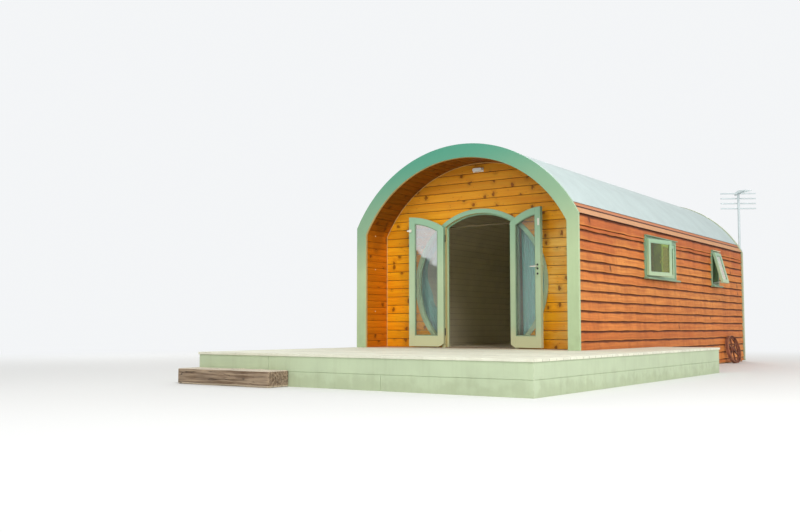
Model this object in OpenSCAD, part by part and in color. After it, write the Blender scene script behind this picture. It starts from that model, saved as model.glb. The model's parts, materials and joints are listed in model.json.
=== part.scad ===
// Garden cabin of the shepherd's hut kind: barrel roof, lapped side boards,
// an open porch with a round glazed screen and a pair of arched doors,
// and a raised timber deck in front with a sleeper for a step.
// X runs across the hut, Y from the porch to the rear, Z up from the ground.

/* [Hut] */
// overall width across the front arch
hut_w = 3400; // [2800:10:3800]
// overall length
hut_l = 7470; // [6600:10:9000]
// height of floor and deck over the ground
floor_z = 350; // [250:5:500]
// floor to the knee where the arch starts
wall_h = 1685; // [1500:5:1900]
// rise of the arch over the knee
arch_rise = 1030; // [800:5:1200]

/* [Shell] */
// how far the side wall studs stand inside the overall width
core_inset = 40; // [30:1:60]
// thickness of the stud walls
core_t = 88; // [60:1:120]
// thickness of the boards that line porch and cabin
lining_t = 22; // [12:1:30]
// how far the roof shell lies inside the arch line
shell_inset = 30; // [25:1:50]
// thickness of the curved roof shell
shell_t = 123; // [80:1:160]
// thickness of the metal roof sheet on its underlay
sheet_t = 18; // [8:1:24]
// height of the sheet's lower edge over the knee
sheet_lift = 140; // [100:5:200]
// thickness of the floor deck
floor_t = 60; // [40:1:90]
// width of a floor bearer
bearer_w = 150; // [75:5:250]

/* [Porch and fascia] */
// front arch board to the face of the front wall
porch_depth = 530; // [300:5:900]
// thickness of the front arch board
fascia_t = 40; // [25:1:60]
// face width of the arch board on the jambs
fascia_jamb = 160; // [155:5:220]
// face width of the arch board round the arch
fascia_arch = 185; // [180:5:220]
// exposed height of a front wall board
front_pitch = 120; // [80:1:180]
// length of the rear arch trim from front to back
trim_t = 70; // [45:1:100]
// face width of the rear arch trim
trim_w = 50; // [30:1:80]

/* [Side boards] */
// exposed height of the first board under the knee
board_top = 146; // [100:1:180]
// exposed height of the narrow strip under it
board_strip = 51; // [30:1:80]
// exposed height of the other boards
board_pitch = 125; // [90:1:160]
// thickness of a lapped board at its lower edge
board_t = 28; // [18:1:40]
// thickness of a lapped board at its upper edge
board_thin = 9; // [6:1:15]
// clearance of the lowest board over the ground
board_gap = 20; // [10:1:60]
// exposed height of the lower sloped eaves board
eaves_low = 85; // [60:1:95]

/* [Round screen] */
// outer radius of the round frame
screen_r = 1036; // [800:1:1150]
// height of its centre over the floor
screen_zc = 869; // [700:1:1100]
// face width of the ring and of the door posts
ring_w = 60; // [40:1:90]
// depth of the ring and posts from front to back
ring_d = 80; // [60:1:120]
// how far the ring stands in front of the wall boards
ring_proud = 10; // [0:1:30]
// overall width over the door posts
door_frame_w = 1202; // [900:2:1300]
// height of the threshold
sill_h = 10; // [10:1:40]
// thickness of the glass
glass_t = 20; // [4:1:28]

/* [Doors] */
// running gap round each leaf
door_gap = 6; // [5:0.5:8]
// thickness of a leaf
leaf_t = 45; // [35:1:60]
// width of stiles and of the curved head
stile_w = 88; // [60:1:110]
// height of the bottom rail
bottom_rail = 150; // [120:5:250]
// opening angle of the left leaf at rest
left_open = 171; // [0:1:172]
// opening angle of the right leaf at rest
right_open = 165; // [0:1:170]
// hinge pin radius
hinge_pin_r = 5; // [4:0.5:7]
// hinge knuckle radius
knuckle_r = 8; // [8:0.5:9]
// how far the pins stand in front of the leaves
pin_reach = 14; // [14:0.5:20]
// height of one hinge
hinge_h = 100; // [80:2:140]

/* [Windows] */
// front window: distance of its frame from the front
win1_y = 2290; // [1200:10:3800]
// front window: overall width
win1_w = 1340; // [600:10:1600]
// rear window: distance of its frame from the front
win2_y = 5480; // [5300:10:6000]
// rear window: overall width
win2_w = 430; // [400:10:900]
// knee down to the head of the window frames
win_drop = 100; // [70:5:200]
// overall height of the window frames
win_h = 610; // [450:5:800]
// face width of the window frames
win_rail = 50; // [40:1:70]
// face width of the sashes
sash_rail = 48; // [35:1:60]
// opening angle of the side hung sash
sash1_open = 12; // [0:1:40]
// opening angle of the top hung sash
sash2_open = 15; // [0:1:40]

/* [Deck] */
// reach of the deck in front of the arch board
deck_reach = 2960; // [1500:10:4000]
// how far the deck passes the hut on the right
deck_wing = 870; // [500:10:1500]
// length of the side wing along the hut
deck_wing_l = 2720; // [1200:10:4000]
// width of a deck board with its groove
deck_pitch = 150; // [100:1:200]
// thickness of the deck boards
deck_board_t = 28; // [20:1:40]
// thickness of the skirt boards round the deck
skirt_t = 28; // [18:1:40]
// length of the sleeper step
step_l = 1390; // [800:10:2000]
// depth of the sleeper step
step_d = 310; // [200:5:400]

/* [Wheel and aerial] */
// outer diameter of the iron wheel
wheel_d = 480; // [350:5:700]
// width of its rim
wheel_w = 46; // [30:1:70]
// number of spokes
wheel_spokes = 6; // [5:1:10]
// distance of the wheel's middle from the rear end
wheel_rear = 1090; // [900:10:2500]
// diameter of the aerial mast
mast_d = 38; // [25:1:50]
// height of the top of the mast over the knee
mast_rise = 1145; // [700:5:2000]
// length of the stacked bars of the aerial
aerial_w = 650; // [400:10:1000]

/* [Hidden] */
$fn = 96;
half_w = hut_w / 2;
// circle of the arch: radius from chord and rise, centre height
arch_r = (pow(half_w, 2) + pow(arch_rise, 2)) / (2 * arch_rise);
knee_z = floor_z + wall_h;
apex_z = knee_z + arch_rise;
arch_cz = apex_z - arch_r;
// insets of the layers from the overall outline
core_in = core_inset + core_t;
lining_in = core_in + lining_t;
shell_in = shell_inset + shell_t;
vault_in = shell_in + lining_t;
// height where the roof shell lands on the side walls
plate_z = knee_z - 25;
// stations along the hut
core_front = porch_depth + lining_t;
core_back = core_front + core_t;
shell_end = hut_l - trim_t;
rear_wall_y = shell_end - core_t;
// the bearers run out under the rear edge of the deck
bearer_reach = 60;
bearer_in = 250;
// round screen
ring_cz = floor_z + screen_zc;
ring_y = porch_depth - ring_proud;
post_out = door_frame_w / 2;
post_in = post_out - ring_w;
light_r = screen_r - ring_w;
// side glass behind the face of the ring
light_back = 30;
// door leaves
pin_y = ring_y - pin_reach;
leaf_edge = post_in - door_gap;
leaf_bottom = floor_z + sill_h + door_gap;
leaf_r = light_r - door_gap;
leaf_corner_z = ring_cz + sqrt(pow(leaf_r, 2) - pow(leaf_edge, 2));
glass_back = 12;
// hinges: distance from the lower and the upper end of a leaf, free play at
// pin and knuckles
hinge_low_in = 154;
hinge_top_in = 103;
hinge_z = [leaf_bottom + hinge_low_in, leaf_corner_z - hinge_top_in - hinge_h];
// lock over the leaf's lower edge, keeper plate under the head
lock_h = 1010;
keeper_h = 91;
keeper_z = ring_cz + leaf_r - 243;
pin_play = 0.05;
knuckle_play = 0.5;
flap_t = 4;
flap_w = 38;
web_t = 6;
// windows
win_z = knee_z - win_drop - win_h;
win_proud = 8;
win_depth = core_t + board_t + win_proud;
win_face = half_w - core_inset + board_t + win_proud;
sash_t = 44;
// how far an opening sash laps over the frame in front of it
sash_lap = 12;
light_h = win_h - 2 * win_rail;
light1_w = (win1_w - win_rail) / 2 - win_rail;
light2_w = win2_w - 2 * win_rail;
// place and width of the windows of each side; the left wall has the rear one
right_windows = [[win1_y, win1_w], [win2_y, win2_w]];
left_windows = [[win2_y, win2_w]];
// deck
deck_right = half_w + deck_wing;
deck_overhang = 12;
wing_gap = 5;
groove_w = 5;
joist_t = 47;
joist_h = 145;
deck_post = 97;
// depth of a cut that goes through any wall
through = 400;

function arch_x(z, inset) = sqrt(pow(arch_r - inset, 2) - pow(z - arch_cz, 2));

// flat outline of the hut seen from the front, drawn inside the overall
// outline by side_in on the walls and arch_in round the arch
module section(side_in, arch_in, from_z = 0) {
    w = half_w - side_in;
    translate([-w, from_z]) square([2 * w, max(1, arch_cz - from_z) + 1]);
    intersection() {
        translate([0, arch_cz]) circle(r = arch_r - arch_in, $fn = 180);
        translate([-w, max(arch_cz, from_z)]) square([2 * w, 2 * arch_r]);
    }
}

// stands a flat front view up between two stations along the hut
module slab(y0, y1) {
    translate([0, y1, 0]) rotate([90, 0, 0]) linear_extrude(y1 - y0) children();
}

module mirrored_left() {
    mirror([1, 0, 0]) children();
}

module ring_section(side_a, arch_a, side_b, arch_b, from_z) {
    difference() {
        section(side_a, arch_a, from_z);
        section(side_b, arch_b, from_z - 1);
    }
}

// Ground and floor

module floor_bearers() {
    reach_x = half_w - core_in - bearer_in;
    color([0.35, 0.28, 0.22])
        for (x = [-reach_x, 0, reach_x])
            translate([x - bearer_w / 2, -bearer_reach, 0])
                cube([bearer_w, rear_wall_y + bearer_reach, floor_z - floor_t]);
}

module floor_deck() {
    w = half_w - core_in;
    color([0.85, 0.86, 0.8])
        translate([-w, fascia_t, floor_z - floor_t])
            cube([2 * w, rear_wall_y - fascia_t, floor_t]);
}

// Walls

module window_holes(windows) {
    for (w = windows)
        translate([half_w - through, w[0], win_z])
            cube([2 * through, w[1], win_h]);
}

// the top of the side wall leans in with the arch, up to the wall plate
module side_wall(windows) {
    color([0.72, 0.5, 0.3]) difference() {
        slab(fascia_t, shell_end) intersection() {
            ring_section(core_inset, shell_inset, core_in, shell_in, 0);
            square([half_w, plate_z]);
        }
        window_holes(windows);
    }
}

module right_wall() {
    side_wall(right_windows);
}

module left_wall() {
    mirrored_left() side_wall(left_windows);
}

module rear_wall() {
    color([0.72, 0.5, 0.3])
        slab(rear_wall_y, shell_end) section(core_in, shell_in, 0);
}

// the hole that the round frame and the door posts fill in the front wall
module screen_hole() {
    translate([0, ring_cz]) circle(r = screen_r, $fn = 144);
    translate([-post_out, floor_z - 1]) square([door_frame_w, screen_zc]);
}

module front_wall_part(x0, x1, z0, z1) {
    color([0.8, 0.55, 0.3]) slab(core_front, core_back) difference() {
        intersection() {
            section(core_in, shell_in, floor_z);
            translate([x0, z0]) square([x1 - x0, z1 - z0]);
        }
        screen_hole();
    }
}

// height where the front wall's cheeks end under its head
head_z = ring_cz + screen_r * 0.72;

module front_wall_left() {
    front_wall_part(-half_w, 0, floor_z, head_z);
}

module front_wall_right() {
    front_wall_part(0, half_w, floor_z, head_z);
}

module front_wall_head() {
    front_wall_part(-half_w, half_w, head_z, apex_z);
}

// horizontal boards of the front wall with a groove at each joint
module front_boards() {
    rows = ceil((wall_h + arch_rise) / front_pitch);
    color([0.87, 0.6, 0.2]) difference() {
        slab(porch_depth, core_front) difference() {
            section(lining_in, vault_in, floor_z);
            screen_hole();
        }
        for (i = [1 : rows - 1])
            translate([-half_w, porch_depth - 1, floor_z + i * front_pitch])
                cube([hut_w, 5, 6]);
    }
}

// sawtooth profile of lapped boards below the knee, thick edge down
module lapped_profile(z_top, z_low) {
    first = z_top - board_top;
    second = first - board_strip;
    edges = concat([z_top, first, second],
                   [for (z = second - board_pitch; z > z_low + 15;
                         z = z - board_pitch) z],
                   [z_low]);
    for (i = [0 : len(edges) - 2])
        polygon([[0, edges[i + 1]], [board_t, edges[i + 1]],
                 [board_thin, edges[i]], [0, edges[i]]]);
}

module side_boards(windows) {
    color([0.72, 0.4, 0.2]) difference() {
        slab(fascia_t, shell_end)
            translate([half_w - core_inset, 0]) lapped_profile(knee_z, board_gap);
        window_holes(windows);
    }
}

module right_boards() {
    side_boards(right_windows);
}

module left_boards() {
    mirrored_left() side_boards(left_windows);
}

module rear_boards() {
    inset = trim_w + 1;
    color([0.72, 0.4, 0.2]) intersection() {
        slab(shell_end, shell_end + board_t + 1) section(inset, inset, 0);
        translate([-half_w, shell_end, 0]) rotate([90, 0, 90])
            linear_extrude(hut_w) lapped_profile(apex_z, board_gap);
    }
}

// Roof

module roof_shell() {
    color([0.85, 0.8, 0.7]) slab(fascia_t, shell_end)
        ring_section(core_inset, shell_inset, core_in, shell_in, plate_z);
}

module roof_sheet() {
    color([0.82, 0.87, 0.89]) slab(fascia_t, shell_end)
        ring_section(0, shell_inset - sheet_t, 0, shell_inset, knee_z + sheet_lift);
}

// two lapped boards that carry the slope from the knee to the sheet, each
// given by how far its edges lie inside the arch line
module eaves_profile() {
    z0 = knee_z;
    z1 = knee_z + eaves_low;
    z2 = knee_z + sheet_lift;
    back = shell_inset + 20;
    difference() {
        union() {
            polygon([[arch_x(z0, 4), z0], [arch_x(z1, 14), z1],
                     [arch_x(z1, back), z1], [half_w - 2 * core_inset, z0]]);
            polygon([[arch_x(z1, 8), z1], [arch_x(z2, 12), z2],
                     [arch_x(z2, back), z2], [arch_x(z1, back), z1]]);
        }
        section(core_inset, shell_inset, 0);
    }
}

module right_eaves() {
    color([0.85, 0.6, 0.4]) slab(fascia_t, shell_end) eaves_profile();
}

module left_eaves() {
    mirrored_left() right_eaves();
}

module front_arch() {
    color([0.6, 0.77, 0.64]) slab(0, fascia_t)
        ring_section(0, 0, fascia_jamb, fascia_arch, floor_z);
}

module rear_arch() {
    color([0.35, 0.42, 0.38]) slab(shell_end, hut_l)
        ring_section(0, 0, trim_w, trim_w, board_gap);
}

module porch_lining() {
    color([0.6, 0.3, 0.08]) slab(fascia_t, core_front)
        ring_section(core_in, shell_in, lining_in, vault_in, floor_z);
}

module cabin_lining() {
    color([0.93, 0.9, 0.82]) difference() {
        slab(core_back, rear_wall_y)
            ring_section(core_in, shell_in, lining_in, vault_in, floor_z);
        window_holes(right_windows);
        mirrored_left() window_holes(left_windows);
    }
}

// Round screen

module door_hole() {
    intersection() {
        translate([0, ring_cz]) circle(r = light_r, $fn = 144);
        translate([-post_in, floor_z]) square([2 * post_in, 2 * screen_r]);
    }
}

// the crescent between a door post and the ring, on the right
module side_light() {
    intersection() {
        translate([0, ring_cz]) circle(r = light_r, $fn = 144);
        translate([post_out, floor_z]) square([screen_r, 2 * screen_r]);
    }
}

module screen_frame() {
    color([0.6, 0.77, 0.64]) slab(ring_y, ring_y + ring_d) difference() {
        intersection() {
            screen_hole();
            translate([-screen_r, floor_z]) square([2 * screen_r, 2 * screen_r]);
        }
        door_hole();
        translate([-post_in, floor_z - 1]) square([2 * post_in, screen_zc]);
        side_light();
        mirror([1, 0]) side_light();
    }
}

module screen_glass() {
    y = ring_y + light_back;
    color([0.7, 0.85, 0.85, 0.35])
        for (s = [0, 1]) mirror([s, 0, 0])
            slab(y, y + glass_t) side_light();
}

module door_threshold() {
    color([0.5, 0.42, 0.34])
        translate([-post_in, ring_y, floor_z]) cube([2 * post_in, ring_d, sill_h]);
}

// Doors, drawn closed on the right and then swung

module leaf_outline(in = 0) {
    intersection() {
        translate([0, ring_cz]) circle(r = leaf_r - in, $fn = 144);
        translate([door_gap + in, leaf_bottom + (in > 0 ? bottom_rail : 0)])
            square([leaf_edge - door_gap - 2 * in, 2 * screen_r]);
    }
}

// puts a closed leaf drawn round its pin into its resting swing
module hung(side, open) {
    translate([side * leaf_edge, pin_y, 0]) rotate([0, 0, side * open])
        translate([-side * leaf_edge, -pin_y, 0])
            mirror([side < 0 ? 1 : 0, 0, 0]) children();
}

module leaf() {
    color([0.6, 0.77, 0.64]) slab(ring_y, ring_y + leaf_t) difference() {
        leaf_outline();
        leaf_outline(stile_w);
    }
}

module leaf_glass() {
    y = ring_y + glass_back;
    color([0.7, 0.85, 0.85, 0.35])
        slab(y, y + glass_t) leaf_outline(stile_w);
}

// flap of a hinge on the side d of its pin: an arm from the knuckle, a web
// back to the face of the wood and a plate that is screwed to it
module hinge_flap(d, h) {
    web_x = leaf_edge + (d > 0 ? knuckle_r : -pin_reach);
    plate_x = leaf_edge + (d > 0 ? knuckle_r : -knuckle_r - flap_w);
    translate([leaf_edge + min(0, d) * pin_reach, pin_y - flap_t, 0])
        cube([pin_reach, 2 * flap_t, h]);
    translate([web_x, pin_y - flap_t, 0]) cube([web_t, pin_reach + flap_t, h]);
    translate([plate_x, ring_y - flap_t, 0]) cube([flap_w, flap_t, h]);
}

// middle knuckle and flap of each hinge, which turn with the leaf
module leaf_hinges() {
    h = hinge_h * 0.4 - 2 * knuckle_play;
    for (z = hinge_z) difference() {
        translate([0, 0, z + hinge_h * 0.3 + knuckle_play]) {
            translate([leaf_edge, pin_y, 0]) cylinder(r = knuckle_r, h = h, $fn = 48);
            hinge_flap(-1, h);
        }
        translate([leaf_edge, pin_y, z])
            cylinder(r = hinge_pin_r + pin_play, h = hinge_h, $fn = 48);
    }
}

// outer knuckles, pin and flap of each hinge, fixed to the post
module post_hinges() {
    h = hinge_h * 0.3;
    for (z = hinge_z) {
        translate([leaf_edge, pin_y, z])
            cylinder(r = hinge_pin_r, h = hinge_h, $fn = 48);
        for (zz = [z, z + hinge_h * 0.7]) translate([0, 0, zz]) {
            translate([leaf_edge, pin_y, 0]) cylinder(r = knuckle_r, h = h, $fn = 48);
            hinge_flap(1, h);
        }
    }
}

module door_posts_hinges() {
    color([0.75, 0.73, 0.68]) {
        post_hinges();
        mirrored_left() post_hinges();
    }
}

// lock plates, spindles and levers on both faces of the right leaf
module lever_set() {
    x = door_gap + stile_w / 2;
    z = leaf_bottom + lock_h;
    plate = [40, 8, 190];
    lever = [100, 14, 16];
    neck = 37;
    for (y = [ring_y - plate[1], ring_y + leaf_t])
        translate([x - plate[0] / 2, y, z - plate[2] / 2]) cube(plate);
    for (y = [ring_y - plate[1] - neck, ring_y + leaf_t + plate[1]])
        translate([x, y, z + 40]) rotate([-90, 0, 0]) cylinder(r = 8, h = neck, $fn = 48);
    for (y = [ring_y - plate[1] - neck - 10, ring_y + leaf_t + plate[1] + neck - 4])
        translate([x - 8, y, z + 32]) cube(lever);
}

// keeper plate near the head of the right leaf
module keeper() {
    translate([door_gap + 15, ring_y + leaf_t, keeper_z]) cube([28, 4, keeper_h]);
}

// latch on the left leaf, whose tongue passes in front of the right one
module latch() {
    y = ring_y + leaf_t;
    translate([door_gap + 8, y, keeper_z + 28]) cube([34, 22, 40]);
    translate([-18, y + 9, keeper_z + 38]) cube([door_gap + 30, 10, 20]);
}

module door_left_leaf() {
    hung(-1, left_open) leaf();
}

module door_left_glass() {
    hung(-1, left_open) leaf_glass();
}

module door_left_fittings() {
    color([0.75, 0.73, 0.68]) hung(-1, left_open) {
        leaf_hinges();
        latch();
    }
}

module door_right_leaf() {
    hung(1, right_open) leaf();
}

module door_right_glass() {
    hung(1, right_open) leaf_glass();
}

module door_right_fittings() {
    color([0.1, 0.1, 0.1]) hung(1, right_open) {
        leaf_hinges();
        lever_set();
        keeper();
    }
}

// Windows of the right wall, all drawn at their place

// bar along the hut with a top that slopes outwards to shed the rain
module weathered_bar(y, l, z, out, t, fall) {
    slab(y, y + l) translate([win_face - win_proud, z])
        polygon([[0, 0], [out, 0], [out, t - fall], [0, t]]);
}

module window_frame(y, w, mullion) {
    x = win_face - win_depth;
    lights = mullion ? [0, light1_w + win_rail] : [0];
    light_w = mullion ? light1_w : light2_w;
    difference() {
        translate([x, y, win_z]) cube([win_depth, w, win_h]);
        for (dy = lights)
            translate([x - 1, y + win_rail + dy, win_z + win_rail])
                cube([win_depth + 2, light_w, light_h]);
    }
    // drip over the head and projecting sill
    weathered_bar(y - 5, w + 10, win_z + win_h, 38, 18, 6);
    weathered_bar(y - 35, w + 70, win_z - 4, 63, 32, 9);
}

module sash(w, h) {
    difference() {
        cube([sash_t, w, h]);
        translate([-1, sash_rail, sash_rail])
            cube([sash_t + 2, w - 2 * sash_rail, h - 2 * sash_rail]);
    }
}

module sash_pane(w, h) {
    translate([glass_back, sash_rail, sash_rail])
        cube([glass_t, w - 2 * sash_rail, h - 2 * sash_rail]);
}

// width and height of the three sashes: 0 side hung, 1 fixed, 2 top hung
sash_sizes = [[light1_w + 2 * sash_lap, light_h + 2 * sash_lap - 8],
              [light1_w, light_h],
              [light2_w + 2 * sash_lap, light_h + 2 * sash_lap]];

// places a sash that is drawn with its corner at the origin
module sash_at(n) {
    z = win_z + win_rail;
    if (n == 0)
        translate([win_face, win1_y + win_rail - sash_lap, z - sash_lap + 4])
            rotate([0, 0, -sash1_open]) children();
    if (n == 1)
        translate([win_face - sash_t - 10, win1_y + 2 * win_rail + light1_w, z])
            children();
    if (n == 2)
        translate([win_face, win2_y + win_rail - sash_lap, z + light_h + sash_lap])
            rotate([0, -sash2_open, 0])
                translate([0, 0, -light_h - 2 * sash_lap]) children();
}

module right_window_frames() {
    color([0.6, 0.77, 0.64]) {
        window_frame(win1_y, win1_w, true);
        window_frame(win2_y, win2_w, false);
    }
}

module right_window_sashes() {
    color([0.65, 0.8, 0.68])
        for (n = [0 : 2]) sash_at(n) sash(sash_sizes[n][0], sash_sizes[n][1]);
}

module right_window_glass() {
    color([0.7, 0.85, 0.85, 0.35])
        for (n = [0 : 2]) sash_at(n) sash_pane(sash_sizes[n][0], sash_sizes[n][1]);
}

module left_window_frames() {
    color([0.6, 0.77, 0.64])
        mirrored_left() window_frame(win2_y, win2_w, false);
}

module left_window_sashes() {
    color([0.65, 0.8, 0.68])
        mirrored_left() sash_at(2) sash(sash_sizes[2][0], sash_sizes[2][1]);
}

module left_window_glass() {
    color([0.7, 0.85, 0.85, 0.35])
        mirrored_left() sash_at(2) sash_pane(sash_sizes[2][0], sash_sizes[2][1]);
}

// Lamp and curtains

module porch_lamp() {
    z = apex_z - 275;
    base = [140, 12, 80];
    color([0.9, 0.9, 0.88]) {
        translate([-base[0] / 2, porch_depth - base[1], z - base[2] / 2]) cube(base);
        translate([0, porch_depth - base[1], z]) rotate([90, 0, 0])
            linear_extrude(38) offset(r = 24) square([76, 20], center = true);
    }
}

rail_r = 10;
rail_over = 825;
rail_out = 420;
rail_z = ring_cz + rail_over;
rail_y = core_back + 45;
// the cloth hangs this little under its rail
hang_gap = 0.3;

module curtains() {
    low = floor_z + 60;
    cloth = [340, 44, rail_z - rail_r - hang_gap - low];
    color([0.35, 0.62, 0.58])
        for (s = [0, 1]) mirror([s, 0, 0])
            translate([post_out + 10, rail_y - cloth[1] / 2, low]) cube(cloth);
}

module curtain_rail() {
    l = post_out + rail_out;
    color([0.25, 0.22, 0.2]) {
        translate([-l, rail_y, rail_z]) rotate([0, 90, 0])
            cylinder(r = rail_r, h = 2 * l, $fn = 48);
        for (x = [-l + 25, l - 25])
            translate([x, core_back, rail_z]) rotate([-90, 0, 0])
                cylinder(r = 7, h = rail_y - core_back, $fn = 48);
    }
}

// Deck

module deck_boards() {
    edge = deck_overhang;
    color([0.9, 0.92, 0.84]) difference() {
        translate([0, 0, floor_z - deck_board_t]) linear_extrude(deck_board_t) {
            translate([-half_w, -deck_reach])
                square([half_w + deck_right, deck_reach + fascia_t]);
            translate([-half_w - edge, -deck_reach - edge])
                square([half_w + deck_right + 2 * edge, deck_reach]);
            translate([half_w + wing_gap, -edge])
                square([deck_wing - wing_gap + edge, deck_wing_l + 2 * edge]);
        }
        for (y = [-deck_reach + deck_pitch : deck_pitch : deck_wing_l])
            translate([-half_w - 2 * edge, y, floor_z - 7])
                cube([hut_w + deck_wing + 4 * edge, groove_w, 20]);
    }
}

// skirt of two boards on each open side of the deck
module skirt_run(l) {
    h = floor_z - deck_board_t;
    difference() {
        cube([l, skirt_t, h]);
        translate([-1, -1, h / 2 - 2]) cube([l + 2, 7, 4]);
    }
}

module deck_skirt() {
    color([0.72, 0.79, 0.66]) {
        translate([-half_w, -deck_reach, 0]) skirt_run(half_w + deck_right);
        translate([deck_right, -deck_reach + skirt_t, 0]) rotate([0, 0, 90])
            skirt_run(deck_reach + deck_wing_l - skirt_t);
        translate([-half_w, fascia_t, 0]) rotate([0, 0, -90])
            skirt_run(deck_reach + fascia_t - skirt_t);
        translate([deck_right - skirt_t, deck_wing_l, 0]) rotate([0, 0, 180])
            skirt_run(deck_wing - skirt_t - wing_gap);
    }
}

// a joist under the deck boards on square posts that stand on the ground
module joist(x, y, l, posts) {
    z = floor_z - deck_board_t - joist_h;
    translate([x, y, z]) cube([l, joist_t, joist_h]);
    for (px = posts)
        translate([px, y - (deck_post - joist_t) / 2, 0])
            cube([deck_post, deck_post, z]);
}

module deck_frame() {
    front_y = -deck_reach + 200;
    pitch = (deck_reach - 420) / 4;
    wing_x = half_w + 30;
    color([0.55, 0.42, 0.3]) {
        for (k = [0 : 4])
            joist(-half_w + skirt_t, front_y + k * pitch, half_w + deck_right - 2 * skirt_t,
                  [-half_w + 200, 0, deck_right - 300]);
        for (k = [1 : 3])
            joist(wing_x, k * (deck_wing_l - 100) / 3 - joist_t,
                  deck_right - skirt_t - wing_x, [deck_right - 300]);
    }
}

module sleeper_step() {
    color([0.55, 0.5, 0.42])
        translate([-half_w - 20, -deck_reach - step_d, 0])
            cube([step_l, step_d, floor_z / 2]);
}

// Wheel and aerial

// the wheel stands on the ground, turned from the wall and leaning on it
wheel_lean = 12;
wheel_turn = 14;
wheel_axis = [cos(wheel_lean) * cos(wheel_turn), -cos(wheel_lean) * sin(wheel_turn),
              sin(wheel_lean)];
rim_t = 8;
flange_h = 34;
wheel_seat = 1.9;
wheel_y = hut_l - wheel_rear;
// half the extent of the tilted rim along an axis that it meets at n
function reach(n) = wheel_d / 2 * sqrt(1 - n * n) + wheel_w / 2 * abs(n);

module iron_wheel() {
    r = wheel_d / 2;
    hub_r = 46;
    color([0.42, 0.26, 0.2])
        translate([half_w - core_inset + board_t - wheel_seat + reach(wheel_axis[0]),
                   wheel_y, reach(wheel_axis[2])])
            rotate([0, 0, -wheel_turn]) rotate([0, 90 - wheel_lean, 0]) {
                rotate_extrude($fn = 96) {
                    translate([r - rim_t, -wheel_w / 2]) square([rim_t, wheel_w]);
                    translate([r - flange_h, -6]) square([flange_h - rim_t + 1, 12]);
                }
                difference() {
                    cylinder(r1 = hub_r, r2 = hub_r - 6, h = 74, center = true, $fn = 64);
                    cylinder(r = 19, h = 90, center = true, $fn = 64);
                }
                for (i = [0 : wheel_spokes - 1]) rotate([0, 0, i * 360 / wheel_spokes])
                    translate([hub_r - 8, -11, -6])
                        cube([r - flange_h + 4 - hub_r + 8, 22, 12]);
            }
}

mast_x = half_w - 65;
mast_y = hut_l + 30;
mast_below = 535;
mast_low = knee_z - mast_below;
mast_top = knee_z + mast_rise;
mast_r = mast_d / 2;
// stacked bars, boom and its rods
bar_r = 9;
bar_pitch = 95;
bar_drop = 300;
boom_l = 620;
boom_ahead = 420;
rod_r = 4;
rod_l = 240;
rod_pitch = 75;

// turn of bars and boom about the mast
aerial_turn = 32;

// stacked bars behind the mast and a boom of rods, from the mast's top down
module aerial_head() {
    translate([-10, -boom_ahead, -30]) cube([20, boom_l, 20]);
    translate([-10, mast_r - 6, -bar_drop - 20]) cube([20, 14, bar_drop + 40]);
    for (i = [0 : 3])
        translate([-aerial_w / 2, mast_r, -bar_drop + i * bar_pitch])
            rotate([0, 90, 0]) cylinder(r = bar_r, h = aerial_w, $fn = 32);
    for (i = [0 : 4])
        translate([-rod_l / 2 + i * 8, 20 - boom_ahead + i * rod_pitch, -15])
            rotate([0, 90, 0]) cylinder(r = rod_r, h = rod_l - i * 16, $fn = 32);
}

// mast with two wall brackets under the turned head
module aerial_mast() {
    clamp_in = mast_x - 30;
    clamp_out = half_w - 25;
    color([0.8, 0.83, 0.84]) {
        translate([mast_x, mast_y, mast_low])
            cylinder(r = mast_r, h = mast_top - mast_low, $fn = 48);
        for (z = [mast_low + 60, knee_z + 25])
            translate([clamp_in, hut_l, z])
                cube([clamp_out - clamp_in, mast_y - hut_l, 30]);
        translate([mast_x, mast_y, mast_top]) rotate([0, 0, aerial_turn]) aerial_head();
    }
}

floor_bearers();
floor_deck();
right_wall();
left_wall();
rear_wall();
front_wall_left();
front_wall_right();
front_wall_head();
front_boards();
screen_frame();
screen_glass();
door_threshold();
right_boards();
left_boards();
rear_boards();
right_eaves();
left_eaves();
roof_shell();
roof_sheet();
front_arch();
rear_arch();
porch_lining();
cabin_lining();
right_window_frames();
right_window_sashes();
right_window_glass();
left_window_frames();
left_window_sashes();
left_window_glass();
porch_lamp();
door_posts_hinges();
door_left_leaf();
door_left_glass();
door_left_fittings();
door_right_leaf();
door_right_glass();
door_right_fittings();
curtains();
curtain_rail();
deck_frame();
deck_boards();
deck_skirt();
sleeper_step();
iron_wheel();
aerial_mast();
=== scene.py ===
import json
import math
import random

import bpy
from mathutils import Matrix, Vector

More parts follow.
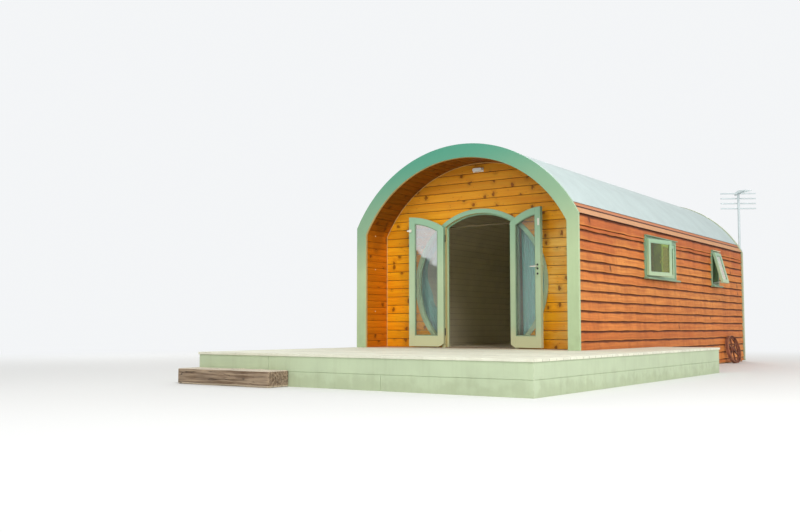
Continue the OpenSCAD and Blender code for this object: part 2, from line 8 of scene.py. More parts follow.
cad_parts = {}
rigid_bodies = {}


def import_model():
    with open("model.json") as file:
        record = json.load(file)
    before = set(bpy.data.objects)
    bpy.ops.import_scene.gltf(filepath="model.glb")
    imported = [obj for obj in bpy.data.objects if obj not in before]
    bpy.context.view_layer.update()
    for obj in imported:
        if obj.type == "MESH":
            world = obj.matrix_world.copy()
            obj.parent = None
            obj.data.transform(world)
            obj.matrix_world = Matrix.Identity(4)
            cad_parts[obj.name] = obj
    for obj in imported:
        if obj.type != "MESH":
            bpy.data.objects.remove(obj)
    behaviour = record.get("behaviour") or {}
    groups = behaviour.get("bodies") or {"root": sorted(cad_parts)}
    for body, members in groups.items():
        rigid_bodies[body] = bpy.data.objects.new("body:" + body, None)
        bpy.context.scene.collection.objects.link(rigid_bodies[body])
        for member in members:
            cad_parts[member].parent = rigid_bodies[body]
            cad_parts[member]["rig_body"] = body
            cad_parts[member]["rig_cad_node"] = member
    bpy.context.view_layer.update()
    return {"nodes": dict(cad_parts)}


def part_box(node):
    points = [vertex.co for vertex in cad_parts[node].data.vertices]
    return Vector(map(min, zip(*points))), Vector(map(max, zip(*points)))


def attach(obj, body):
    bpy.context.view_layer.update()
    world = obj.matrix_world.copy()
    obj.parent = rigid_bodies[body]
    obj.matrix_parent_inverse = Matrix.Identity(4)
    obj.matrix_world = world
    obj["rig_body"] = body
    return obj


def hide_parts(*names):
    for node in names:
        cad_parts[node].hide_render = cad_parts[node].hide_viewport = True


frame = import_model()

# Camera, light and floor: the hut is seen from the front right, low over the ground.
# Large soft lamps and a pale surround light it evenly, and it stands on a plain floor.
camera_at = (6.306, -10.370, 0.630)
camera_turn = (math.radians(93.82), 0.0, math.radians(34.98))
focal_length = 41.4
lamps = {"key": ((11, -8.5, 10.5), 7, 1500), "front": ((2, -15, 7.5), 7, 640),
         "right": ((15, 5, 4.5), 7, 480), "rear": ((-4, 19, 9), 8, 800),
         "left": ((-13, 4, 7), 7, 420)}
lamps_aim = Vector((0, 2, 1))
surround = 0.42
sky_colour = (0.97, 0.985, 1.0, 1.0)
sky_seen = 0.93
floor_size = 400
floor_middle = (0.0, 2.0, 0.0)
floor_blend = (6.5, 15.0)


def node(tree, kind, inputs=None, **settings):
    """Adds a shader node with its settings, its inputs being plain values or fields."""
    made = tree.nodes.new(kind)
    for name, value in settings.items():
        setattr(made, name, value)
    for key, value in (inputs or {}).items():
        if isinstance(value, Field):
            value.feed(made.inputs[key])
        else:
            made.inputs[key].default_value = value
    return made


class Field:
    """What changes over a surface, as a node gives it out: it adds, multiplies and fades."""

    def __init__(self, tree, socket):
        self.tree = tree
        self.socket = socket

    def feed(self, socket):
        self.tree.links.new(self.socket, socket)

    def then(self, kind, inputs, output=0, **settings):
        """The output of one more node in the same tree."""
        return Field(self.tree, node(self.tree, kind, inputs, **settings).outputs[output])

    def math(self, operation, *others):
        return self.then("ShaderNodeMath", dict(enumerate((self, *others))), operation=operation)

    def vector(self, operation, other, output=0):
        return self.then("ShaderNodeVectorMath", {0: self, 1: other}, output, operation=operation)

    def __add__(self, other):
        return self.math("ADD", other)

    def __sub__(self, other):
        return self.math("SUBTRACT", other)

    def __rsub__(self, other):
        return self.then("ShaderNodeMath", {0: other, 1: self}, operation="SUBTRACT")

    def __mul__(self, other):
        return self.math("MULTIPLY", other)

    def __truediv__(self, other):
        return self.math("DIVIDE", other)

    def __abs__(self):
        return self.math("ABSOLUTE")

    def fade(self, start, end, low=0.0, high=1.0):
        """Runs smoothly from low to high while the value goes from start to end."""
        return self.then("ShaderNodeMapRange", {"Value": self, "From Min": start, "From Max": end,
                         "To Min": low, "To Max": high}, interpolation_type="SMOOTHSTEP")


def read(tree, kind="ShaderNodeTexCoord", output="Object", **settings):
    """What a node reads off the surface, which is its place where nothing else is named."""
    return Field(tree, node(tree, kind, **settings).outputs[output])


def shader_of(material):
    return material.node_tree.nodes["Principled BSDF"]


def finish_of(name, roughness, **sockets):
    """A material and its tree, with its shader's plain values set on the shader itself."""
    made = bpy.data.materials.new(name)
    made.use_nodes = True
    for label, value in {"Roughness": roughness, **sockets}.items():
        shader_of(made).inputs[label.replace("_", " ")].default_value = value
    return made, made.node_tree


bpy.ops.object.select_all(action="DESELECT")
bpy.ops.object.camera_add(location=camera_at, rotation=camera_turn)
camera = bpy.context.object
camera.data.lens = focal_length
bpy.context.scene.camera = camera
bpy.context.scene.view_settings.view_transform = "Standard"

for name, (at, size, watts) in lamps.items():
    turn = (lamps_aim - Vector(at)).to_track_quat("-Z", "Y").to_euler()
    bpy.ops.object.light_add(type="AREA", location=at, rotation=turn)
    bpy.context.object.name = name + " lamp"
    bpy.context.object.data.size = size
    bpy.context.object.data.energy = watts

world = bpy.data.worlds.new("studio")
bpy.context.scene.world = world
world.use_nodes = True
tree = world.node_tree
rays = [read(tree, "ShaderNodeLightPath", f"Is {kind} Ray")
        for kind in ("Camera", "Glossy", "Transmission")]
seen = rays[0].math("MAXIMUM", rays[1]).math("MAXIMUM", rays[2])
sky = tree.nodes["Background"].inputs
sky["Color"].default_value = sky_colour
seen.then("ShaderNodeMapRange", {"Value": seen, "To Min": surround,
                                 "To Max": sky_seen}).feed(sky["Strength"])

bpy.ops.mesh.primitive_plane_add(size=floor_size)
studio_floor = bpy.context.object
studio_floor.name = "studio_floor"
pale, tree = finish_of("pale floor", 0.9, Base_Color=(0.82, 0.82, 0.80, 1))
far = read(tree).vector("DISTANCE", floor_middle, "Value").fade(*floor_blend)
far = far * read(tree, "ShaderNodeLightPath", "Is Camera Ray")
near = Field(tree, shader_of(pale).outputs[0])
glow = far.then("ShaderNodeEmission", {"Color": sky_colour, "Strength": sky_seen})
far.then("ShaderNodeMixShader", {0: far, 1: near, 2: glow}).feed(
    tree.nodes["Material Output"].inputs["Surface"])
studio_floor.data.materials.append(pale)


# Bearers and floor: three rough timbers on the ground carry the insulated floor, whose
# top is planed boards. They are spiked together and show only at the porch and through
# the doors.
def colour(red, green, blue):
    """A colour from its everyday values of 0 to 255, as the shaders want it."""
    return tuple((v / 255 / 12.92 if v <= 10 else ((v / 255 + 0.055) / 1.055) ** 2.4)
                 for v in (red, green, blue)) + (1.0,)


def group(name, given, results):
    """A new shader node group, the fields that it is given and the sockets of its results."""
    tree = bpy.data.node_groups.new(name, "ShaderNodeTree")
    for label, kind, value in given:
        socket = tree.interface.new_socket(label, in_out="INPUT", socket_type="NodeSocket" + kind)
        if value is not None:
            socket.default_value = value
    for label, kind in results:
        tree.interface.new_socket(label, in_out="OUTPUT", socket_type="NodeSocket" + kind)
    inputs = tree.nodes.new("NodeGroupInput").outputs
    return tree, {label: Field(tree, inputs[label]) for label, kind, value in given}, (
        tree.nodes.new("NodeGroupOutput").inputs)


def effect(tree, made, **inputs):
    """What a node group puts out where it is placed in a material."""
    placed = node(tree, "ShaderNodeGroup", inputs, node_tree=made)
    return {socket.name: Field(tree, socket) for socket in placed.outputs}


def stretched(place, *scale):
    return place.vector("MULTIPLY", scale)


def noise(place, scale, detail=2.0, roughness=0.5):
    return place.then("ShaderNodeTexNoise", {"Vector": place, "Scale": scale, "Detail": detail,
                                             "Roughness": roughness}, "Fac")


def axes(place):
    """X, Y and Z of a place or direction."""
    return [Field(place.tree, socket)
            for socket in node(place.tree, "ShaderNodeSeparateXYZ", {0: place}).outputs]


def layered(shade, *layers):
    """Lays colours over a first one, each as far as its mask says."""
    for mask, over in layers:
        shade = mask.then("ShaderNodeMix", {0: mask, 6: shade, 7: over}, 2, data_type="RGBA")
    return shade


def dressed(made, shade, height, strength, depth):
    """Gives a material its colour and raises its surface by that height."""
    sockets = shader_of(made).inputs
    shade.feed(sockets["Base Color"])
    height.then("ShaderNodeBump", {"Height": height, "Strength": strength,
                                   "Distance": depth}).feed(sockets["Normal"])
    return made


def make_wood_figure():
    """Growth rings, fine grain and knots of softwood whose grain runs along the vector's X."""
    tree, given, result = group("wood figure", [
        ("Vector", "Vector", None), ("Board", "Float", 0.5), ("Knots", "Float", 0.5)],
        [("Figure", "Float"), ("Knot", "Float"), ("Height", "Float")])
    place = given["Vector"].vector("ADD", given["Board"].then(
        "ShaderNodeVectorMath", {0: (171.0, 53.0, 91.0), "Scale": given["Board"]},
        operation="SCALE"))

    def spots(along, across, share):
        """The distance from the nearest spot's middle, and whether that spot is a knot."""
        cells = node(tree, "ShaderNodeTexVoronoi", {"Vector": stretched(place, along, across, 1.0),
                                                    "Scale": 1.0}, voronoi_dimensions="2D").outputs
        chance = place.then("ShaderNodeSeparateColor", {0: Field(tree, cells["Color"])})
        return Field(tree, cells["Distance"]), chance.math("LESS_THAN", share)

    off_knot, kept = spots(5.2, 4.2, given["Knots"])
    off_pin, kept_pin = spots(7.0, 15.0, given["Knots"] * 0.55)
    ragged = off_knot + noise(stretched(place, 45.0, 16.0, 1.0), 1.0).fade(0.3, 0.7, -0.06, 0.06)
    knot = ragged.fade(0.15, 0.085) * kept
    knot = knot.math("MAXIMUM", off_pin.fade(0.075, 0.04) * kept_pin * 0.8)
    bend = off_knot.fade(0.4, 0.0) * kept
    knot = knot.math("MAXIMUM", bend * 0.38)
    bent = place.vector("ADD", bend.then("ShaderNodeCombineXYZ", {"Y": bend * 0.05}))
    rings = noise(stretched(bent, 1.3, 34.0, 34.0), 1.0, 3.0, 0.6)
    fine = noise(stretched(bent, 7.0, 260.0, 260.0), 1.0, 2.0)
    figure = rings * 0.7 + fine * 0.3
    figure.fade(0.32, 0.68).feed(result["Figure"])
    knot.feed(result["Knot"])
    (figure - knot * 0.4).feed(result["Height"])
    return tree


wood_figure = make_wood_figure()


def timber(name, light, dark, order, roughness, knots=0.35):
    """Bare sawn timber on a CAD solid, its grain along the first axis in order."""
    made, tree = finish_of(name, roughness)
    place = read(tree)
    axis = dict(zip("XYZ", axes(place)))
    along = place.then("ShaderNodeCombineXYZ", {i: axis[a] for i, a in enumerate(order)})
    figure = effect(tree, wood_figure, Vector=along, Knots=knots)
    patches = noise(place, 1.7, 3.0).fade(0.35, 0.7)
    shade = layered(light, (figure["Figure"], dark), (patches * 0.5, dark),
                    (figure["Knot"], colour(70, 45, 28)))
    return dressed(made, shade, figure["Height"], 0.5, 0.003)


def coat(material, *names):
    """Gives CAD nodes a finish."""
    for name in names:
        frame["nodes"][name].material_slots[0].material = material


coat(timber("rough bearer timber", colour(128, 104, 82), colour(88, 70, 54), "YXZ", 0.85),
     "floor_bearers")
coat(timber("planed floor boards", colour(226, 214, 190), colour(203, 186, 158), "YXZ", 0.5,
            0.03), "floor_deck")


# Stud walls and roof shell: softwood frames with insulation and sheathing, closed on
# both faces. Boards cover them nearly all over.
coat(timber("sawn studwork", colour(205, 172, 128), colour(176, 138, 96), "ZYX", 0.75),
     "right_wall", "left_wall")
coat(timber("roof lining", colour(214, 200, 172), colour(190, 172, 140), "YZX", 0.75),
     "roof_shell")


# Cabin lining: planed boards run round walls and vault inside the cabin, nailed to the
# frames and painted cream.
def brightened(shade, value):
    return shade.then("ShaderNodeHueSaturation", {"Color": shade, "Value": value})


def make_painted():
    """Satin paint on wood: slight patches, dirt low down and in drips, brush marks."""
    tree, given, result = group("painted wood", [
        ("Vector", "Vector", None), ("Paint", "Color", (0.5, 0.5, 0.5, 1)),
        ("Dirt", "Float", 0.2), ("Reach", "Float", 0.5)],
        [("Color", "Color"), ("Height", "Float"), ("Dull", "Float")])
    place = given["Vector"]
    patches = noise(place, 2.3, 4.0, 0.6).fade(0.3, 0.7, -1.0, 1.0)
    shaded = brightened(given["Paint"], patches * 0.045 + 1.0)
    drips = noise(stretched(place, 16.0, 16.0, 1.2), 1.0, 4.0, 0.65).fade(0.45, 0.75)
    low = (1.0 - axes(place)[2] / given["Reach"]) + noise(place, 7.0, 3.0).fade(
        0.3, 0.7, -0.35, 0.35)
    dirty = (drips * 0.45 + low.fade(0.1, 0.9)) * given["Dirt"]
    spoiled = shaded.then("ShaderNodeMix", {0: 1.0, 6: shaded, 7: (0.44, 0.38, 0.27, 1)}, 2,
                          data_type="RGBA", blend_type="MULTIPLY")
    layered(shaded, (dirty, spoiled)).feed(result["Color"])
    (noise(place, 60.0, 3.0) + noise(place, 5.0, 2.0)).feed(result["Height"])
    dirty.feed(result["Dull"])
    return tree


painted_wood = make_painted()
knee = 2.035
arch_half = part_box("front_arch")[1].x
arch_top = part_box("front_arch")[1].z
arch_rise = arch_top - knee
arch_radius = (arch_half ** 2 + arch_rise ** 2) / (2 * arch_rise)
arch_centre = arch_top - arch_radius
inner_pitch = 0.095


def paint(name, shade, roughness=0.45, dirt=0.25, reach=0.6, bumps=0.25):
    """Brushed paint on CAD solids and on their eased copies."""
    made, tree = finish_of(name, roughness)
    skin = effect(tree, painted_wood, Vector=read(tree), Paint=shade, Dirt=dirt, Reach=reach)
    skin["Dull"].fade(0.0, 0.5, roughness, 0.85).feed(shader_of(made).inputs["Roughness"])
    return dressed(made, skin["Color"], skin["Height"], bumps, 0.002)


def cream_boards(name, vaulted):
    """Cream boards with a joint at each pitch, counted round the vault where it is vaulted."""
    made, tree = finish_of(name, 0.5)
    place = read(tree)
    skin = effect(tree, painted_wood, Vector=place, Paint=colour(236, 226, 198), Dirt=0.05)
    x, _, up = axes(place)
    if vaulted:
        over = up - arch_centre
        from_centre = (over * over + x * x).math("SQRT")
        round_vault = (over / from_centre).math("ARCSINE") * arch_radius
        up = up.then("ShaderNodeMix", {0: up.math("GREATER_THAN", knee), 2: up, 3: round_vault})
    joint = abs((up / inner_pitch).math("FRACT") - 0.5).fade(0.47, 0.49)
    shade = layered(skin["Color"], (joint * 0.55, colour(120, 104, 74)))
    return dressed(made, shade, skin["Height"] - joint * 4.0, 0.6, 0.002)


coat(cream_boards("cream painted boards", True), "cabin_lining")
coat(cream_boards("cream end boards", False), "rear_wall", "front_wall_left",
     "front_wall_right", "front_wall_head")


# Front wall boards: planed softwood boards with a shadow groove at each joint, stained
# amber, nailed across the studs of the porch's back wall and cut round to the arch and
# to the round frame. Knots show through the stain.
front_low, front_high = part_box("front_boards")
porch_floor = front_low.z
front_t = front_high.y - front_low.y
front_pitch = 0.120
front_gap = 0.003
front_board = front_pitch - front_gap
wall_span = (0.4, 0.7)
vault = arch_radius - (arch_top - front_high.z)
ring_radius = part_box("screen_frame")[1].x
ring_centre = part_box("screen_frame")[1].z - ring_radius
post_out = 0.601
dice = random.Random(7)


def moved(x, y, z):
    return Matrix.Translation((x, y, z))


def turned(degrees, axis="Z"):
    return Matrix.Rotation(math.radians(degrees), 4, axis)


def alone(*things):
    """Selects these objects only, the first of them active."""
    bpy.ops.object.select_all(action="DESELECT")
    for thing in things:
        thing.select_set(True)
    bpy.context.view_layer.objects.active = things[0]


def primitive(name, add, **settings):
    """A new primitive with its place in its mesh."""
    bpy.ops.object.select_all(action="DESELECT")
    add(**settings)
    bpy.ops.object.transform_apply(location=True, rotation=True, scale=True)
    bpy.context.object.name = name
    return bpy.context.object


def block(name, one, other):
    """A box between two opposite corners."""
    low = Vector([min(pair) for pair in zip(one, other)])
    high = Vector([max(pair) for pair in zip(one, other)])
    return primitive(name, bpy.ops.mesh.primitive_cube_add, size=1, location=(low + high) / 2,
                     scale=high - low)


def drum(name, radius, depth, at, turn, sides):
    """A cylinder, its axis along Z before it is turned."""
    return primitive(name, bpy.ops.mesh.primitive_cylinder_add, vertices=sides, radius=radius,
                     depth=depth, location=at, rotation=turn)


def round_block(name, radius, height, y0, y1, sides=128):
    """A drum that lies along the hut, its middle on the centre line at that height."""
    return drum(name, radius, y1 - y0, (0, (y0 + y1) / 2, height), (math.pi / 2, 0, 0), sides)


def pick(thing, kind, test):
    """Enters edit mode with only those faces, edges or corners selected that pass the test.

    Faces give their centre and normal, edges their middle and direction, corners their place.
    """
    alone(thing)
    bpy.ops.object.mode_set(mode="EDIT")
    bpy.ops.mesh.select_mode(type=kind)
    bpy.ops.mesh.select_all(action="DESELECT")
    bpy.ops.object.mode_set(mode="OBJECT")
    mesh = thing.data
    if kind == "FACE":
        for face in mesh.polygons:
            face.select = test(face.center, face.normal)
    elif kind == "EDGE":
        for edge in mesh.edges:
            a, b = (mesh.vertices[i].co for i in edge.vertices)
            edge.select = test((a + b) / 2, (b - a).normalized())
    else:
        for corner in mesh.vertices:
            corner.select = test(corner.co)
    bpy.ops.object.mode_set(mode="EDIT")


def done():
    bpy.ops.object.mode_set(mode="OBJECT")


def apply(thing, kind, **settings):
    """Adds a modifier and applies it."""
    alone(thing)
    modifier = thing.modifiers.new(kind.lower(), kind)
    for name, value in settings.items():
        setattr(modifier, name, value)
    bpy.ops.object.modifier_apply(modifier=modifier.name)


def ease(thing, width, segments=2, angle=35):
    """Rounds the sharp edges and shades curves smooth while flat faces stay flat.

    Thin sheet metal has no room for a rounding: with a width of 0 it is only shaded.
    """
    alone(thing)
    if not width:
        bpy.ops.object.shade_smooth_by_angle(angle=math.radians(angle))
        return
    bpy.ops.object.shade_smooth()
    apply(thing, "BEVEL", width=width, segments=segments, limit_method="ANGLE",
          angle_limit=math.radians(angle), harden_normals=True)


def board_pattern(name, height, thickness, upper, rounding, cuts):
    """A board one metre long to be cut to length: back at Y = 0, lower edge at Z = 0.

    Its grain lies along its X, in metres, on its own UV map.
    """
    board = block(name, (0, 0, 0), (1, thickness, height))
    pick(board, "EDGE", lambda at, way: at.z > height - 1e-5 and at.y > thickness - 1e-5)
    bpy.ops.transform.translate(value=(0, upper - thickness, 0))
    done()
    pick(board, "EDGE", lambda at, way: abs(way.x) > 0.9 and at.y > min(upper, thickness) - 1e-5)
    bpy.ops.mesh.bevel(offset=rounding, segments=2, affect="EDGES")
    done()
    if cuts:
        pick(board, "EDGE", lambda at, way: abs(way.x) > 0.9)
        bpy.ops.mesh.subdivide(number_cuts=cuts)
        done()
    mesh = board.data
    lower = board.vertex_groups.new(name="edge")
    lower.add([v.index for v in mesh.vertices if v.co.z < height * 0.4], 1.0, "REPLACE")
    for face in mesh.polygons:
        face.use_smooth = abs(face.normal.x) < 0.9
    for edge in mesh.edges:
        a, b = (mesh.vertices[i].co.x for i in edge.vertices)
        edge.use_edge_sharp = abs(a - b) < 1e-6 and min(a, 1 - a) < 1e-6
    grain = mesh.uv_layers.new(name="grain")
    for corner in mesh.loops:
        at = mesh.vertices[corner.vertex_index].co
        grain.data[corner.index].uv = (at.x, at.z + at.y)
    mesh.attributes.new("board", "FLOAT", "FACE")
    return board


def cut_board(pattern, length, place, height=1.0, tone=None):
    """One more board of that length, with a tone of its own, put in its place."""
    board = pattern.copy()
    board.data = pattern.data.copy()
    bpy.context.collection.objects.link(board)
    board.data.transform(place @ Matrix.Diagonal((length, 1, height, 1)))
    for corner in board.data.uv_layers["grain"].data:
        corner.uv.x *= length
    tone = dice.random() if tone is None else tone
    board.data.attributes["board"].data.foreach_set("value", [tone] * len(board.data.polygons))
    return board


def joined(name, parts):
    """Makes one piece of several."""
    alone(*parts)
    bpy.ops.object.join()
    parts[0].name = name
    return parts[0]


def carve(thing, tool, operation="DIFFERENCE"):
    """Cuts a piece with another and takes the tool away."""
    apply(thing, "BOOLEAN", object=tool, operation=operation, solver="EXACT")
    bpy.data.objects.remove(tool)


def finished(piece, material, body="hut", stands_for=None):
    """Coats a new piece, fixes it to its body and lets it stand for a CAD node."""
    piece.data.materials.append(material)
    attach(piece, body)
    if stands_for:
        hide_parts(stands_for)


def stained(name, light, second, dark, knot, knots=0.5, roughness=0.5, variety=0.3, drift=0.5,
            figured=0.55, seams=None, shadow=None, shifts=(), streaks=0.0):
    """Stained boards: figure, knots and a tone for each board, along the board's own UV map.

    seams tells where a board's edges lie across it, how wide and how dark they look, shadow where
    the painted shadow under the next board starts and ends and how dark it is, shifts along which
    axis a colour comes in, and from where to where, streaks how dark the rain has run down the
    wall.
    With shadow come a painted highlight along each board's lower edge, partly worn stain, and
    painted shade on its underside; the knot colour paints the shadow and the shade.
    """
    made, tree = finish_of(name, roughness, Specular_IOR_Level=0.25)
    grain = read(tree, "ShaderNodeUVMap", "UV", uv_map="grain")
    board = read(tree, "ShaderNodeAttribute", "Fac", attribute_name="board")
    place = read(tree)
    figure = effect(tree, wood_figure, Vector=grain, Board=board, Knots=knots)
    patches = noise(place, 1.1, 3.0, 0.6).fade(0.3, 0.7)
    shade = layered(light, (board * (1.0 - drift) + patches * drift, second))
    drifting = noise(place, 2.1, 2.0).fade(0.3, 0.7, -0.2, 0.2)
    for axis, shift, start, end in shifts:
        shade = layered(shade, ((axes(place)[axis] + drifting).fade(start, end), shift))
    shade = brightened(shade, (board * 7.31).math("FRACT") * variety + (1.0 - variety / 2))
    runs = noise(stretched(place, 4.0, 4.0, 1.1), 1.0, 5.0, 0.7)
    shade = layered(shade, (figure["Figure"] * figured, dark),
                    (runs.fade(0.4, 0.7, 0.0, streaks), dark), (figure["Knot"] * 0.8, knot))
    across = axes(grain)[1]
    if seams:
        side = (across - seams[0]).math("MINIMUM", seams[1] - across)
        shade = layered(shade, (side.fade(0.0, seams[2], seams[3], 0.0), knot))
    # Painted shadow under the next board, a painted highlight along the lower edge (partly worn
    # stain) and painted shade on the underside.
    if shadow:
        ragged = across + noise(stretched(grain, 3.0, 20.0, 1.0), 1.0, 3.0).fade(
            0.3, 0.7, -0.005, 0.005)
        shade = layered(shade, (ragged.fade(*shadow[:2], 0.0, shadow[2]), knot),
                        (across.fade(0.046, 0.026, 0.0, 0.45), light),
                        (across.fade(0.024, 0.012, 0.0, 0.9), knot))
    return dressed(made, shade, figure["Height"], 0.35, 0.002)


pattern = board_pattern("front board pattern", front_board, front_t, front_t, 0.005, 0)
rows = math.ceil((front_high.z - porch_floor) / front_pitch)
front_boards = joined("front_wall_boards", [cut_board(pattern, 2 * front_high.x, moved(
    front_high.x, front_high.y, porch_floor + i * front_pitch + front_gap / 2) @ turned(180))
    for i in range(rows)])
bpy.data.objects.remove(pattern)
carve(front_boards, round_block("arch tool", vault, arch_centre, *wall_span), "INTERSECT")
carve(front_boards, round_block("ring tool", ring_radius, ring_centre, *wall_span))
carve(front_boards, block("door tool", (-post_out, wall_span[0], 0.2),
                          (post_out, wall_span[1], ring_centre)))
# The amber darkens towards the top as painted shade under the arch, and pales towards the right as
# painted sunlight.
finished(front_boards, stained(
    "amber stained boards", colour(255, 188, 26), colour(242, 148, 6), colour(214, 118, 6),
    colour(108, 48, 10), knots=0.6, roughness=0.42, variety=0.24,
    seams=(front_t, front_t + front_board, 0.006, 0.6),
    shifts=((2, colour(222, 156, 38), 1.5, 2.5), (0, colour(255, 216, 112), 0.9, 1.5))),
    stands_for="front_boards")


# Porch lining: narrower boards run from front to back round the inside of the porch, on
# the walls and up the vault, stained darker. A thin pale bead covers the corner.
lining_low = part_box("porch_lining")[0]
lining_x = front_high.x
lining_t = 0.016
lining_pitch = 0.094
lining_gap = 0.0015
lining_board = lining_pitch - lining_gap
depth = front_low.y - lining_low.y
spring = math.asin((math.sqrt(vault ** 2 - lining_x ** 2)) / vault)
spring_z = arch_centre + vault * math.sin(spring)
pattern = board_pattern("lining board pattern", lining_board, lining_t, lining_t, 0.004, 0)
boards = []
for side, start in ((-1, lining_low.y + depth), (1, lining_low.y)):
    wall = moved(side * (lining_x + lining_t), start, porch_floor) @ turned(90 * side)
    for i in range(math.ceil((spring_z - porch_floor) / lining_pitch)):
        boards.append(cut_board(pattern, depth, wall @ moved(0, 0, i * lining_pitch)))
step = 2 * math.asin(lining_pitch / 2 / vault)
steps = int((math.pi - 2 * spring) / step)
first = math.pi / 2 - steps * step / 2
stand = moved(vault + lining_t, lining_low.y, -lining_pitch / 2) @ turned(90)
for i in range(steps + 1):
    turn = moved(0, 0, arch_centre) @ Matrix.Rotation(-(first + i * step), 4, "Y")
    boards.append(cut_board(pattern, depth, turn @ stand))
bpy.data.objects.remove(pattern)
# The stain turns dark brown up in the vault: painted shade under the porch roof.
finished(joined("porch_lining_boards", boards), stained(
    "dark amber lining", colour(222, 128, 14), colour(204, 110, 6), colour(160, 82, 4),
    colour(82, 36, 8), roughness=0.45, variety=0.2, figured=0.45,
    seams=(lining_t, lining_t + lining_board, 0.005, 0.4),
    shifts=((2, colour(116, 68, 10), 1.6, 2.3),)), stands_for="porch_lining")


def arc_bar(name, inner, outer, y0, y1, start, end, height, steps=48):
    """A bar bent round the centre line at that height, between angles in degrees from +X up."""
    angles = [math.radians(start + (end - start) * i / steps) for i in range(steps + 1)]
    corners = [(r * math.cos(a), y, height + r * math.sin(a)) for a in angles
               for r, y in ((inner, y0), (outer, y0), (outer, y1), (inner, y1))]
    faces = [(i + a, i + b, i + b + 4, i + a + 4) for i in range(0, 4 * steps, 4)
             for a, b in ((0, 1), (1, 2), (2, 3), (3, 0))]
    last = 4 * steps
    faces += [(3, 2, 1, 0), (last, last + 1, last + 2, last + 3)]
    mesh = bpy.data.meshes.new(name)
    mesh.from_pydata(corners, [], faces)
    bar = bpy.data.objects.new(name, mesh)
    bpy.context.collection.objects.link(bar)
    return bar


bead = 0.009
bead_y = (front_low.y - bead, front_low.y)
angle = math.degrees(spring)
corner_bead = joined("porch_corner_bead", [arc_bar(
    "bead", vault - bead, vault, *bead_y, angle, 180 - angle, arch_centre, 96)] + [
    block("bead", (side * lining_x, bead_y[0], porch_floor),
          (side * (lining_x - bead), bead_y[1], spring_z)) for side in (-1, 1)])
ease(corner_bead, 0.003)
finished(corner_bead, paint("pale bead varnish", colour(214, 168, 104), 0.4, 0.1))


def stud(name, radius, depth, at, turn=(0, 0, 0), sides=24):
    """A short round pin with an eased rim, its axis along Z before it is turned."""
    made = drum(name, radius, depth, at, turn, sides)
    ease(made, min(radius, depth) * 0.3)
    return made


# Pale plugs cover the screws that hold the lining, down the middle of each side.
plug_y = 0.24
plug_heights = (0.86, 1.46, 1.94)
finished(joined("porch_screw_plugs", [
    stud("plug", 0.009, 0.008, (side * (lining_x - 0.001), plug_y, z), (0, math.pi / 2, 0))
    for side in (-1, 1) for z in plug_heights]),
    paint("pale screw plugs", colour(226, 200, 160), 0.5, 0.1))


# Round screen: a built-up ring of laminated hardwood with two door posts and a
# threshold, painted sage. Each crescent beside the posts holds one pane behind beads.
def eased(node_name, width, material, slot, segments=2, angle=35, tool=None):
    """A coated copy of a CAD node, merged, cut and with its edges rounded, to stand for it."""
    source = frame["nodes"][node_name]
    copy = source.copy()
    copy.data = source.data.copy()
    bpy.context.collection.objects.link(copy)
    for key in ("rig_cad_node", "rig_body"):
        del copy[key]
    copy.name = node_name + "_eased"
    copy.parent = None
    alone(copy)
    bpy.ops.mesh.customdata_custom_splitnormals_clear()
    bpy.ops.object.mode_set(mode="EDIT")
    bpy.ops.mesh.select_all(action="SELECT")
    bpy.ops.mesh.remove_doubles(threshold=1e-5)
    bpy.ops.mesh.dissolve_limited(angle_limit=math.radians(0.3))
    done()
    if tool:
        carve(copy, tool)
    ease(copy, width, segments, angle)
    copy.data.materials[0] = material
    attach(copy, source["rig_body"])
    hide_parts(node_name)
    return copy


def clear_glass(name, tint, clear, bright, edge=(0.0, 1.0), slope=(0, 0, 1)):
    """Float glass that mirrors the sky past a slanting edge, as it does in the photograph.

    slope is the way across that edge, edge where it starts and ends along it.
    """
    made, tree = finish_of(name, 0.03, Transmission_Weight=1.0, IOR=1.45, Coat_IOR=4.0,
                           Specular_IOR_Level=0.05, Base_Color=tint)
    place = read(tree)
    sockets = shader_of(made).inputs
    noise(place, 3.0, 4.0, 0.6).fade(0.45, 0.75, 0.02, 0.09).feed(sockets["Roughness"])
    along = place.vector("DOT_PRODUCT", slope, "Value")
    along = along + noise(place, 5.0, 4.0, 0.6).fade(0.3, 0.7, -0.06, 0.06)
    # The coat, and with it the sky mirrored in the glass, comes in only past the edge: a painted
    # reflection.
    along.fade(*edge, clear, bright).feed(sockets["Coat Weight"])
    return made


def recoloured(material):
    """The socket of a paint's colour, what feeds it so far, and the paint's place."""
    socket = shader_of(material).inputs["Base Color"]
    tree = material.node_tree
    return socket, Field(tree, socket.links[0].from_socket), read(tree)


def weathered(material, *shifts, lean=0.0):
    """Lets a paint change with height: each shift is a colour and where it starts and ends.

    lean tilts the heights, up along X where it is over 0.
    """
    # On the sage paint and the arch paint the darker shifts higher up are painted shade.
    socket, shade, place = recoloured(material)
    x, _, z = axes(place)
    rise = z - x * lean
    for shift, start, end in shifts:
        shade = layered(shade, (rise.fade(start, end), shift))
    shade.feed(socket)
    return material


# The sage turns greener and darker higher up, painted shade as on the arch, and yellower near the
# foot.
sage = weathered(paint("sage paint", colour(178, 199, 160), 0.4, 0.22, 0.7),
                 (colour(196, 198, 154), 0.70, 0.45), (colour(142, 182, 150), 1.2, 2.2))
coat(clear_glass("clear glass", (0.97, 0.99, 0.98, 1), 0.0, 0.0), "screen_glass")
screen = eased("screen_frame", 0.004, sage, "sage_paint")

